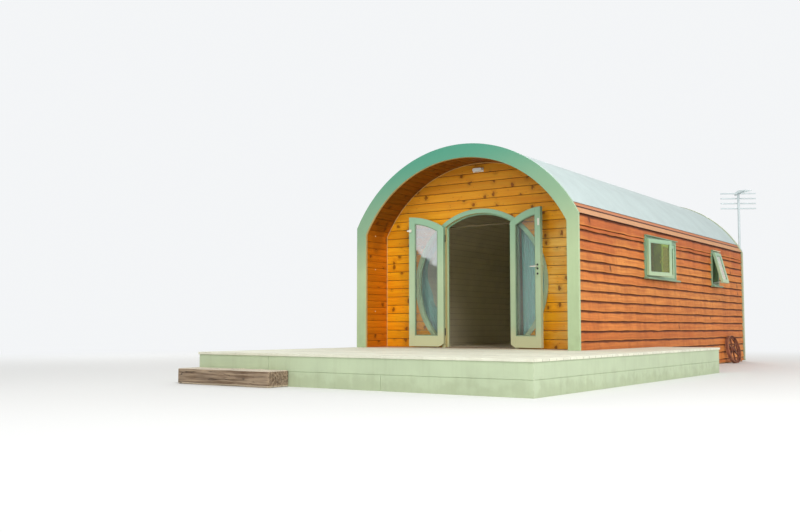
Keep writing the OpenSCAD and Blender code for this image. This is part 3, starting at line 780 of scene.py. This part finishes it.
post_in = 0.541
light_radius = 0.976
glass_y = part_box("screen_glass")[0].y
bead_y = (glass_y - 0.01, glass_y)
corner = math.degrees(math.acos(post_out / light_radius))
half = light_radius * math.sin(math.radians(corner))
parts = []
for side, middle in ((-1, 180), (1, 0)):
    parts.append(arc_bar("bead", light_radius - bead, light_radius, *bead_y, middle - corner,
                         middle + corner, ring_centre))
    parts.append(block("bead", (side * post_out, bead_y[0], ring_centre - half),
                       (side * (post_out + bead), bead_y[1], ring_centre + half)))
screen_beads = joined("screen_beads", parts)
ease(screen_beads, 0.002)
finished(screen_beads, sage)

# A stop bead runs round the doorway behind the leaves; the reveal is beige.
reveal_paint = paint("beige reveal paint", colour(200, 182, 124), 0.45, 0.2, 0.7)


def recoat(thing, material, test):
    """Gives the faces that pass the test, by centre and normal, a material of their own."""
    thing.data.materials.append(material)
    number = len(thing.data.materials) - 1
    for face in thing.data.polygons:
        if test(face.center, face.normal):
            face.material_index = number


recoat(screen, reveal_paint, lambda at, way: abs(way.y) < 0.5 and abs(at.x) < post_in + 0.004
       and at.z < ring_centre + light_radius)
stop = 0.020
stop_y = (0.572, 0.598)
stop_radius = light_radius - stop
corner = math.degrees(math.acos((post_in - stop) / stop_radius))
half = stop_radius * math.sin(math.radians(corner))
door_stop = joined("door_stop_bead", [arc_bar(
    "stop", stop_radius, light_radius + 0.001, *stop_y, corner - 2, 182 - corner, ring_centre,
    64)] + [block("stop", (side * (post_in + 0.001), stop_y[0], porch_floor + 0.01),
                  (side * (post_in - stop), stop_y[1], ring_centre + half)) for side in (-1, 1)])
ease(door_stop, 0.003)
finished(door_stop, sage)
eased("door_threshold", 0.005, timber("worn threshold", colour(150, 128, 100),
                                      colour(104, 84, 62), "XYZ", 0.6), "threshold_wood")


# Doors: two glazed leaves with arched heads, jointed from stiles, a deep bottom rail and
# a curved head, painted sage, the glass held by beads. Black butt hinges carry them; the
# right leaf has the lever lock and a keeper, the left one the latch.
pin = (0.535, 0.506)
leaf_face = (0.520, 0.565)
pane_face = (0.532, 0.552)
leaf_bottom = 0.366
leaf_radius = 0.970
free_edge = 0.006
stile = 0.088
bottom_rail = 0.150
door_bead = 0.012
swing = {"left": 171, "right": 165}
joint_w = 0.0022
joint_deep = 0.0015
bead_paint = paint("shaded sage beads", colour(128, 152, 122), 0.4, 0.2, 0.7)
white_metal = paint("white coated metal", colour(222, 220, 208), 0.35, 0.1, 0.2, 0.05)
black_metal = paint("black coated metal", colour(38, 38, 40), 0.35, 0.05, 0.2, 0.05)


def outwards(thing):
    """Turns the faces of a mirrored or bent mesh outwards."""
    pick(thing, "FACE", lambda at, way: True)
    bpy.ops.mesh.normals_make_consistent(inside=False)
    done()


def swung(side):
    """Where a leaf stands open that was made closed, on the right; mirrored for the left one."""
    sign = -1 if side == "left" else 1
    axis = moved(sign * pin[0], pin[1], 0)
    return axis @ turned(sign * swing[side]) @ axis.inverted() @ Matrix.Diagonal((sign, 1, 1, 1))


def hang(thing, side):
    """Swings a piece of a leaf to where the leaf stands open."""
    thing.data.transform(swung(side))
    if side == "left":
        outwards(thing)
    return thing


def head_at(x, radius):
    """The height of a leaf's curved head, or of its pane's, over x."""
    return ring_centre + math.sqrt(radius ** 2 - x ** 2)


lock_x = 0.047
lock_heights = (1.320, 1.387, 1.436)
lever_at = swung("right") @ Vector((lock_x + 0.003, leaf_face[1], 0))
light_low = leaf_bottom + bottom_rail
light_x = (free_edge + stile, pin[0] - stile)
pane_radius = leaf_radius - stile
spans = [math.degrees(math.acos(x / pane_radius)) for x in reversed(light_x)]
for side, sign in (("left", -1), ("right", 1)):
    cuts = [block("joint", (x - joint_w / 2, face - joint_deep, low),
                  (x + joint_w / 2, face + joint_deep, high))
            for face in leaf_face for x in light_x
            for low, high in ((leaf_bottom - 0.01, light_low),
                              (head_at(x, pane_radius), head_at(x, leaf_radius) + 0.01))]
    eased(f"door_{side}_leaf", 0.003, sage, "sage_paint",
          tool=hang(joined("joint tool", cuts), side))
    parts = []
    for y in ((leaf_face[0] + 0.003, pane_face[0]), (pane_face[1], leaf_face[1] - 0.003)):
        parts.append(arc_bar("bead", pane_radius - door_bead, pane_radius, *y, *spans,
                             ring_centre, 24))
        for a, b in ((light_x[0], light_x[0] + door_bead), (light_x[1] - door_bead, light_x[1])):
            parts.append(block("bead", (a, y[0], light_low), (b, y[1], head_at(b, pane_radius))))
        parts.append(block("bead", (light_x[0], y[0], light_low),
                           (light_x[1], y[1], light_low + door_bead)))
    beads = hang(joined(f"door_{side}_beads", parts), side)
    ease(beads, 0.003)
    finished(beads, bead_paint, "door_" + side)
    fittings = eased(f"door_{side}_fittings", 0.002, white_metal,
                     "fitting_black" if side == "left" else "fitting_white", 2, 40)
    recoat(fittings, black_metal, lambda at, way: math.hypot(
        at.x - sign * pin[0], at.y - pin[1]) < 0.07)
    if side == "right":
        recoat(fittings, sage, lambda at, way: 1.27 < at.z < 1.48 and abs(way.z) < 0.5 and (
            math.hypot(at.x - lever_at.x, at.y - lever_at.y) < 0.035))
coat(clear_glass("left leaf glass", (0.90, 0.98, 0.93, 1), 0.02, 1.0, (1.07, 1.17),
                 (0.63, 0, 1.0)), "door_left_glass")
coat(clear_glass("right leaf glass", (0.92, 1.0, 0.96, 1), 0.0, 0.04, (1.5, 1.0)),
     "door_right_glass")
rosettes = joined("door_lock_rosettes", [
    stud("rosette", 0.015, 0.007, (lock_x, leaf_face[1] + 0.010, z), (math.pi / 2, 0, 0))
    for z in lock_heights])
finished(hang(rosettes, "right"), black_metal, "door_right")
eased("door_posts_hinges", 0.001, black_metal, "fitting_black", 1, 50)


# Windows: softwood casements in frames that stand just proud of the boards, with a drip
# over the head and a projecting sill, painted sage. The hung sashes stand open on stays.
window_face = 1.696
window_rail = 0.050
sash_rail = 0.048
sash_lap = 0.012
side_open, top_open = -12, -15
window_low, window_high = 1.325, 1.935
front_window, rear_window = (2.290, 3.630), (5.480, 5.910)
light_z = window_low + window_rail
light_high = window_high - window_low - 2 * window_rail
light_1 = (front_window[1] - front_window[0] - window_rail) / 2 - window_rail
light_2 = rear_window[1] - rear_window[0] - 2 * window_rail
side_hung = moved(window_face, front_window[0] + window_rail - sash_lap,
                  light_z - sash_lap + 0.004) @ turned(side_open)
fixed = moved(window_face - 0.054, front_window[0] + 2 * window_rail + light_1, light_z)
top_hung = moved(
    window_face, rear_window[0] + window_rail - sash_lap, light_z + light_high + sash_lap
    ) @ turned(top_open, "Y") @ moved(0, 0, -light_high - 2 * sash_lap)
sashes = ((side_hung, light_1 + 2 * sash_lap, light_high + 2 * sash_lap - 0.008),
          (fixed, light_1, light_high),
          (top_hung, light_2 + 2 * sash_lap, light_high + 2 * sash_lap))


def glazing_beads(place, width, height):
    """Four beads that hold a pane in its sash, outside, overlapping at the corners."""
    (low, high), edge, w = (0.032, 0.0405), sash_rail, 0.011
    bars = [block("bead", (low, y, edge), (high, y + w, height - edge))
            for y in (edge, width - edge - w)]
    bars += [block("bead", (low, edge, z), (high, width - edge, z + w))
             for z in (edge, height - edge - w)]
    for bar in bars:
        bar.data.transform(place)
    return bars


def stay(start, end, radius=0.0045):
    """A thin round rod with eased ends from one point to another."""
    start, end = Vector(start), Vector(end)
    turn = (end - start).to_track_quat("Z", "Y").to_euler()
    return stud("stay", radius, (end - start).length, (start + end) / 2, turn, 12)


# The window glass is tinted strong olive for the greenery seen mirrored in the panes, a painted
# reflection, and mirrors the sky only towards the rear.
window_glass = clear_glass("window glass", (0.60, 0.62, 0.10, 1), 0.02, 1.0, (4.9, 5.1),
                           (0, 1, 0))
frame_paint = paint("shaded sage frames", colour(128, 160, 126), 0.4, 0.25, 0.7)
# A pale coat on the outer face of the rear windows' drips is a painted highlight where light
# catches them.
drip_highlight_paint = paint("faded drip paint", colour(226, 214, 176), 0.5, 0.1, 0.7)
for side, shown in (("right", sashes), ("left", sashes[2:])):
    frames = eased(f"{side}_window_frames", 0.0035, frame_paint, "sage_paint")
    recoat(frames, drip_highlight_paint, lambda at, way: at.z > window_high - 0.004
           and at.y > rear_window[0] - 0.1 and abs(way.x) > 0.5)
    eased(f"{side}_window_sashes", 0.0035, sage, "sage_paint")
    coat(window_glass, f"{side}_window_glass")
    beads = joined(f"{side}_window_beads", [bar for sash in shown for bar in
                                            glazing_beads(*sash)])
    stays = [stay(top_hung @ Vector((0.020, y, 0.030)),
                  (window_face - 0.060, rear_window[0] + window_rail + y - sash_lap + drift,
                   light_z + 0.006)) for y, drift in ((0.060, 0.03), (0.290, -0.03))]
    if side == "right":
        foot = (window_face - 0.05, front_window[0] + window_rail + 0.30, light_z + 0.010)
        stays.append(stay(side_hung @ Vector((0.010, 0.500, 0.030)), foot))
        stays += [stay(side_hung @ Vector((-0.012, 0.360, 0.24 - rise)),
                       side_hung @ Vector((-0.012, 0.460, 0.24 + rise)), 0.004)
                  for rise in (0.05, -0.05)]
    stays = joined(f"{side}_window_stays", stays)
    if side == "left":
        for thing in (beads, stays):
            thing.data.transform(Matrix.Diagonal((-1, 1, 1, 1)))
            outwards(thing)
    ease(beads, 0.002)
    finished(beads, sage)
    finished(stays, black_metal if side == "left" else white_metal)


# Side and rear boards: sawn softwood boards with the natural wavy lower edge, lapped over
# each other and nailed to the studs, stained red brown.
wall_low, wall_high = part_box("right_boards")
rear_low, rear_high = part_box("rear_boards")
board_back = 1.660
board_t = wall_high.x - board_back
board_thin = 0.009
course = 0.125
first_courses = (0.146, 0.197)
lap = 0.004
board_lengths = (3.2, 4.8)
shortest_board = 1.2
gable_span = (7.3, 7.6)


def courses(top, foot):
    """The heights of the boards' edges from the top down; the second board is a narrow strip."""
    edges = [top] + [top - drop for drop in first_courses]
    while edges[-1] - course > foot + 0.015:
        edges.append(edges[-1] - course)
    return edges + [foot]


def lapped_wall(name, run, wall, edges, seed, windows=(), gable=0.0):
    """Courses of lapped boards from the top down, each of two or three lengths.

    Boards are cut round the windows, given as start and end, and to the gable's radius.
    """
    dice.seed(seed)
    pattern = board_pattern("lapped board pattern", course, board_t, board_thin, 0.004, 30)
    boards = []
    for high, low in zip(edges, edges[1:]):
        start, tone = 0.0, dice.random()
        while start < run - 0.01:
            length = min(run - start, dice.uniform(*board_lengths))
            if run - start - length < shortest_board:
                length = run - start
            board = cut_board(pattern, length, wall @ moved(start, 0, low),
                              (high - low + lap) / course, tone)
            tone += 0.004
            for begin, end in windows:
                if (start < end and start + length > begin and low < window_high
                        and high + lap > window_low):
                    tool = block("window tool", (begin, -0.1, window_low),
                                 (end, 0.2, window_high))
                    tool.data.transform(wall)
                    carve(board, tool)
            if gable and high > knee:
                carve(board, round_block("gable tool", gable, arch_centre, *gable_span),
                      "INTERSECT")
            boards.append(board)
            start += length
    bpy.data.objects.remove(pattern)
    made = joined(name, boards)
    clouds = bpy.data.textures.new("wavy edge", "CLOUDS")
    clouds.noise_scale = 0.33
    apply(made, "DISPLACE", texture=clouds, direction="Z", strength=0.022, mid_level=0.5,
          vertex_group="edge", texture_coords="LOCAL")
    return made


run = wall_high.y - wall_low.y
right_boards = lapped_wall(
    "right_side_boards", run, moved(board_back, wall_high.y, 0) @ turned(-90),
    courses(knee, wall_low.z), 11,
    [(wall_high.y - y1, wall_high.y - y0) for y0, y1 in (front_window, rear_window)])
left_boards = lapped_wall(
    "left_side_boards", run, moved(-board_back, wall_low.y, 0) @ turned(90),
    courses(knee, wall_low.z), 12, [[y - wall_low.y for y in rear_window]])
rear_boards = lapped_wall(
    "rear_end_boards", 2 * rear_high.x, moved(-rear_high.x, rear_low.y, 0),
    courses(arch_top, rear_low.z), 13, gable=rear_high.z - arch_centre)
# shadow paints a dark band under each board's edge, painted shadow, with a painted highlight at
# the lower edge and painted shade on the underside.
side_stain = stained(
    "red brown stained boards", colour(240, 158, 78), colour(208, 114, 48), colour(160, 78, 30),
    colour(84, 34, 8), knots=0.04, roughness=0.6, variety=0.2, drift=0.35,
    shadow=(0.099, 0.117, 0.92), streaks=0.45,
    shifts=((2, colour(204, 112, 56), 1.6, 2.0),))
for boards, replaced in ((right_boards, "right_boards"), (left_boards, "left_boards"),
                         (rear_boards, "rear_boards")):
    finished(boards, side_stain, stands_for=replaced)


# Eaves boards: two boards close the slope between the wall boards and the roof sheet on
# each side, a dark one under the sheet lapped over a pale one.
eaves_joint = knee + 0.085
eaves_stain = paint("pale eaves stain", colour(208, 150, 102), 0.6, 0.3)
socket, lower_shade, place = recoloured(eaves_stain)
above = axes(place)[2] - eaves_joint
# The dark line at the joint between the two boards is painted shadow.
layered(lower_shade, (above.math("GREATER_THAN", 0.0), colour(198, 126, 84)),
        (abs(above).fade(0.015, 0.006), colour(96, 46, 18))).feed(socket)
for side in ("right", "left"):
    eaves = eased(f"{side}_eaves", 0.004, eaves_stain, "eaves_boards")
    # Faces that point down are coated black: painted shade under the boards.
    recoat(eaves, black_metal, lambda at, way: way.z < -0.7)


# Roof: one curved sheet of coated steel over the boarded shell, its foot folded out to a
# short drip over the eaves boards.
roof_coating = paint("pale roof coating", colour(199, 213, 211), 0.8, 0.1, 0.5, 0.05)
shader_of(roof_coating).inputs["Specular IOR Level"].default_value = 0.15
roof = eased("roof_sheet", 0, roof_coating, "roof_metal")
drip_back = 0.082
drip_from = 1.65
for side in (-1, 1):
    pick(roof, "VERT", lambda at: side * at.x > drip_from)
    bpy.ops.transform.translate(value=(-side * drip_back, 0, 0))
    done()


# Arch boards: the front one is cut from thick boards and painted sage; the rear one is a
# narrow grey green trim that covers the ends of sheet and boards.
# The arch paint darkens and greens higher up and towards the left: painted shade.
front_arch = eased("front_arch", 0.005, weathered(
    paint("sage arch paint", colour(176, 196, 152), 0.4, 0.15, 0.7),
    (colour(134, 170, 136), 1.5, 2.3), (colour(76, 152, 126), 2.2, 3.1), lean=0.12),
    "sage_paint")
recoat(front_arch, reveal_paint, lambda at, way: abs(way.y) < 0.5 and way.dot(
    Vector((at.x, 0, max(at.z - arch_centre, 0)))) < 0)
eased("rear_arch", 0.004, paint("grey green trim", colour(176, 186, 150), 0.45, 0.2),
      "rear_trim")


# Porch lamp: an oval bulkhead lamp with an opal cover on a base plate.
lamp = eased("porch_lamp", 0.006, paint("opal lamp plastic", colour(232, 232, 226), 0.3, 0.1,
                                        0.2, 0.02), "lamp_plastic", 3, 25)
lamp_at = sum(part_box("porch_lamp"), Vector()) / 2
lamp.data.transform(moved(*lamp_at) @ Matrix.Diagonal((1.15, 1, 0.7, 1)) @ moved(*-lamp_at))


# Curtains: unlined cotton in a blue green, hung by rings from an iron rail inside. The
# right one covers its crescent; the left one is drawn aside by a band at breast height.
# The rail is painted the dim olive of the shaded room behind it: painted shade.
eased("curtain_rail", 0.001, paint("bronze rail", colour(104, 92, 62), 0.5, 0.1, 0.2, 0.05),
      "fitting_black")
rail_low, rail_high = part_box("curtain_rail")
curtain_low, curtain_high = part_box("curtains")
curtain_y = (curtain_low.y + curtain_high.y) / 2
cloth_w = 0.56
folds = 6
deepest_fold = 0.021
grid_rows = 54


def make_cloth():
    """Blue green cotton: a fine weave along the cloth's own UV map and a few slubs."""
    made, tree = finish_of("teal curtain cotton", 0.85, Sheen_Weight=0.4)
    weave = read(tree, "ShaderNodeUVMap", "UV", uv_map="weave")
    threads = weave.then("ShaderNodeTexChecker", {"Vector": weave, "Scale": 700.0}, "Fac")
    slubs = noise(stretched(weave, 220.0, 9.0, 1.0), 1.0, 3.0).fade(0.4, 0.75)
    shade = layered(colour(164, 226, 218), (slubs * 0.3, colour(190, 238, 230)),
                    (threads * 0.12, colour(104, 164, 156)))
    return dressed(made, shade, threads + slubs, 0.3, 0.0004)


def fold_depth(width):
    """How deep the folds are where the cloth is drawn together to that width."""
    low, high = 0.0, 0.03
    for i in range(24):
        depth = (low + high) / 2
        run = sum(math.hypot(width, 2 * math.pi * folds * depth * math.cos(math.pi * k / 32))
                  for k in range(64)) / 64
        low, high = (depth, high) if run < cloth_w else (low, depth)
    return low


def curtain(name, sign, edges_at):
    """Cloth hung on one side; edges_at lists height, inner and outer edge from the top down."""
    cloth = primitive(name, bpy.ops.mesh.primitive_grid_add, x_subdivisions=folds * 14,
                      y_subdivisions=grid_rows, size=1)
    weave = cloth.data.uv_layers.new(name="weave")
    for corner in cloth.data.loops:
        at = cloth.data.vertices[corner.vertex_index].co
        weave.data[corner.index].uv = (at.x * cloth_w, at.y * 1.6)
    for corner in cloth.data.vertices:
        u, v = corner.co.x + 0.5, 0.5 - corner.co.y
        z = edges_at[0][0] + v * (edges_at[-1][0] - edges_at[0][0])
        (z0, a0, b0), (z1, a1, b1) = next(
            pair for pair in zip(edges_at, edges_at[1:]) if z >= pair[1][0] - 1e-6)
        t = (z0 - z) / (z0 - z1)
        t = t * t * (3 - 2 * t)
        inner, outer = a0 + (a1 - a0) * t, b0 + (b1 - b0) * t
        depth = min(fold_depth(round(outer - inner, 3)), deepest_fold)
        sway = 0.5 * math.sin(2.3 * z + sign) + 0.9 * math.sin(5.0 * u + 1.7 * z)
        corner.co = (sign * (inner + (outer - inner) * u),
                     curtain_y + depth * math.sin(2 * math.pi * folds * u + sway), z)
    outwards(cloth)
    bpy.ops.object.shade_smooth()
    apply(cloth, "SOLIDIFY", thickness=0.001, offset=0)
    return cloth


def wire_ring(at, turn, radius, wire):
    """A ring of round wire: one on the rail, and the eye under it that the cloth is sewn to."""
    ring = primitive("ring", bpy.ops.mesh.primitive_torus_add, location=at, rotation=turn,
                     major_radius=radius, minor_radius=wire, major_segments=24,
                     minor_segments=8)
    bpy.ops.object.shade_smooth()
    return ring


cotton = make_cloth()
top, foot = curtain_high.z - 0.004, curtain_low.z + 0.005
near, far = 0.617, 0.945
eye_under = Vector((0, 0, 0.019))
hung = {"right": [(top, near - 0.032, far), (foot, near - 0.028, far)],
        "left": [(top, near, far), (1.46, 0.950, 1.025), (1.38, 0.950, 1.025),
                 (1.02, 0.850, 1.020), (0.86, 0.775, 1.010), (foot, 0.640, 0.900)]}
for side, sign in (("right", 1), ("left", -1)):
    cloth = curtain(side + "_curtain", sign, hung[side])
    finished(cloth, cotton)
    rings = []
    for i in range(folds + 1):
        at = Vector((sign * (near + (far - near) * i / folds), curtain_y,
                     (rail_low.z + rail_high.z) / 2))
        rings += [wire_ring(at, (0, math.pi / 2, 0), 0.014, 0.0025),
                  wire_ring(at - eye_under, (math.pi / 2, 0, 0), 0.005, 0.0015)]
    rings = joined(side + "_curtain_rings", rings)
    finished(rings, black_metal)
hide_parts("curtains")


# Deck: painted boards on joists and posts, with a skirt of two boards round the open
# sides. The boards are screwed down and their grooves lie across the hut.
coat(timber("sawn deck joists", colour(152, 124, 88), colour(112, 88, 60), "XYZ", 0.85),
     "deck_frame")
deck_pitch = 0.150
deck_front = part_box("deck_boards")[0].y + 0.012
deck_coat = paint("pale deck paint", colour(244, 245, 226), 0.5, 0.25, 3.0)
socket, plain, place = recoloured(deck_coat)
row = (axes(place)[1] - deck_front) / deck_pitch
tone = row.then("ShaderNodeTexWhiteNoise", {"W": row.math("FLOOR")}, "Value",
                noise_dimensions="1D")
groove = abs(row.math("FRACT") - 0.5).fade(0.465, 0.49, 0.0, 0.65)
layered(brightened(plain, tone.fade(0.0, 1.0, 0.91, 1.03)),
        (groove * row.math("GREATER_THAN", 0.5), colour(128, 122, 92))).feed(socket)
eased("deck_boards", 0.003, deck_coat, "deck_paint")
skirt_joint = 0.161
seams = [block("joint tool", (x - 0.002, deck_front - 0.01, low),
               (x + 0.002, deck_front + 0.006, high))
         for x, low, high in ((0.886, -0.01, skirt_joint), (-0.62, skirt_joint, 0.33))]
eased("deck_skirt", 0.003, paint("sage grey skirt paint", colour(186, 200, 166), 0.5, 0.22,
                                 0.2), "skirt_paint", tool=joined("joint tool", seams))


# Sleeper step: one old railway sleeper, weathered grey, with worn edges and checks.
def make_sleeper_wood():
    """Grey brown oak with dark checks along the grain, paler and dustier on top."""
    made, tree = finish_of("weathered sleeper", 0.9)
    place = read(tree)
    grain = noise(stretched(place, 2.0, 42.0, 42.0), 1.0, 4.0, 0.65)
    checks = abs(noise(stretched(place, 1.1, 17.0, 17.0), 1.0) - 0.5).fade(0.012, 0.0)
    patches = noise(place, 3.5, 4.0, 0.6).fade(0.35, 0.65)
    up = axes(read(tree, "ShaderNodeNewGeometry", "Normal"))[2]
    shade = layered(colour(168, 146, 120), (grain.fade(0.35, 0.65), colour(100, 78, 58)),
                    (patches * 0.5, colour(134, 118, 100)),
                    (up.fade(0.4, 0.9, 0.0, 0.85), colour(226, 214, 192)),
                    (axes(place)[2].fade(0.026, 0.012, 0.0, 0.7), colour(214, 198, 172)),
                    (checks * 0.8, colour(52, 42, 34)))
    return dressed(made, shade, grain - checks, 0.8, 0.006)


sleeper = block("sleeper_worn", *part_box("sleeper_step"))
ease(sleeper, 0.016, 3)
pick(sleeper, "FACE", lambda at, way: True)
bpy.ops.mesh.subdivide(number_cuts=14)
done()
clouds = bpy.data.textures.new("worn timber", "CLOUDS")
clouds.noise_scale = 0.16
apply(sleeper, "DISPLACE", texture=clouds, strength=0.014, mid_level=0.55,
      texture_coords="LOCAL")
finished(sleeper, make_sleeper_wood(), stands_for="sleeper_step")


# Wheel: a cast iron wheel from old farm machinery, rusted all over, leaning on the wall. Its
# rim is a deep band that stands out over the spokes, away from the wall.
wheel_turn = 7
wheel_lean = 12
wheel_at = sum(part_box("iron_wheel"), Vector()) / 2
hub_at = wheel_at - Vector((0.0176, 0, 0))
rim_outer, rim_inner = 0.243, 0.231
rust, tree = finish_of("rusted iron", 0.9)
place = read(tree)
scale = noise(place, 13.0, 4.0, 0.55)
flakes = noise(place, 90.0, 3.0, 0.6)
from_hub = place.vector("DISTANCE", hub_at, "Value")
# The outer face of the rim is painted paler: a painted highlight where light catches it.
shade = layered(colour(88, 48, 36), (scale.fade(0.35, 0.65), colour(146, 90, 66)),
                (flakes.fade(0.55, 0.75, 0.0, 0.45), colour(58, 34, 28)),
                (from_hub.fade(0.242, 0.246), colour(184, 128, 98)))
dressed(rust, shade, scale + flakes, 0.8, 0.003)
wheel = eased("iron_wheel", 0.002, rust, "rusty_iron")
apply(wheel, "DISPLACE", strength=0.003, mid_level=0.0)
wheel.data.transform(moved(*hub_at) @ turned(wheel_turn) @ moved(*-wheel_at))
band = round_block("wheel_rim_band", rim_outer, 0, 0.020, 0.040, 96)
carve(band, round_block("rim tool", rim_inner, 0, -0.1, 0.2, 96))
ease(band, 0.002)
band.data.transform(moved(*hub_at) @ turned(-wheel_turn) @ turned(90 - wheel_lean, "Y")
                    @ turned(90, "X"))
finished(band, rust)


# Aerial: a galvanised mast clamped to the rear corner, with a stack of reflector bars
# and a boom of rods.
mast = eased("aerial_mast", 0.0008, paint("galvanised tube", colour(208, 219, 221), 0.4, 0.1,
                                          0.2, 0.05), "galvanised", 1, 50)
apply(mast, "DISPLACE", strength=0.004, mid_level=0.0)
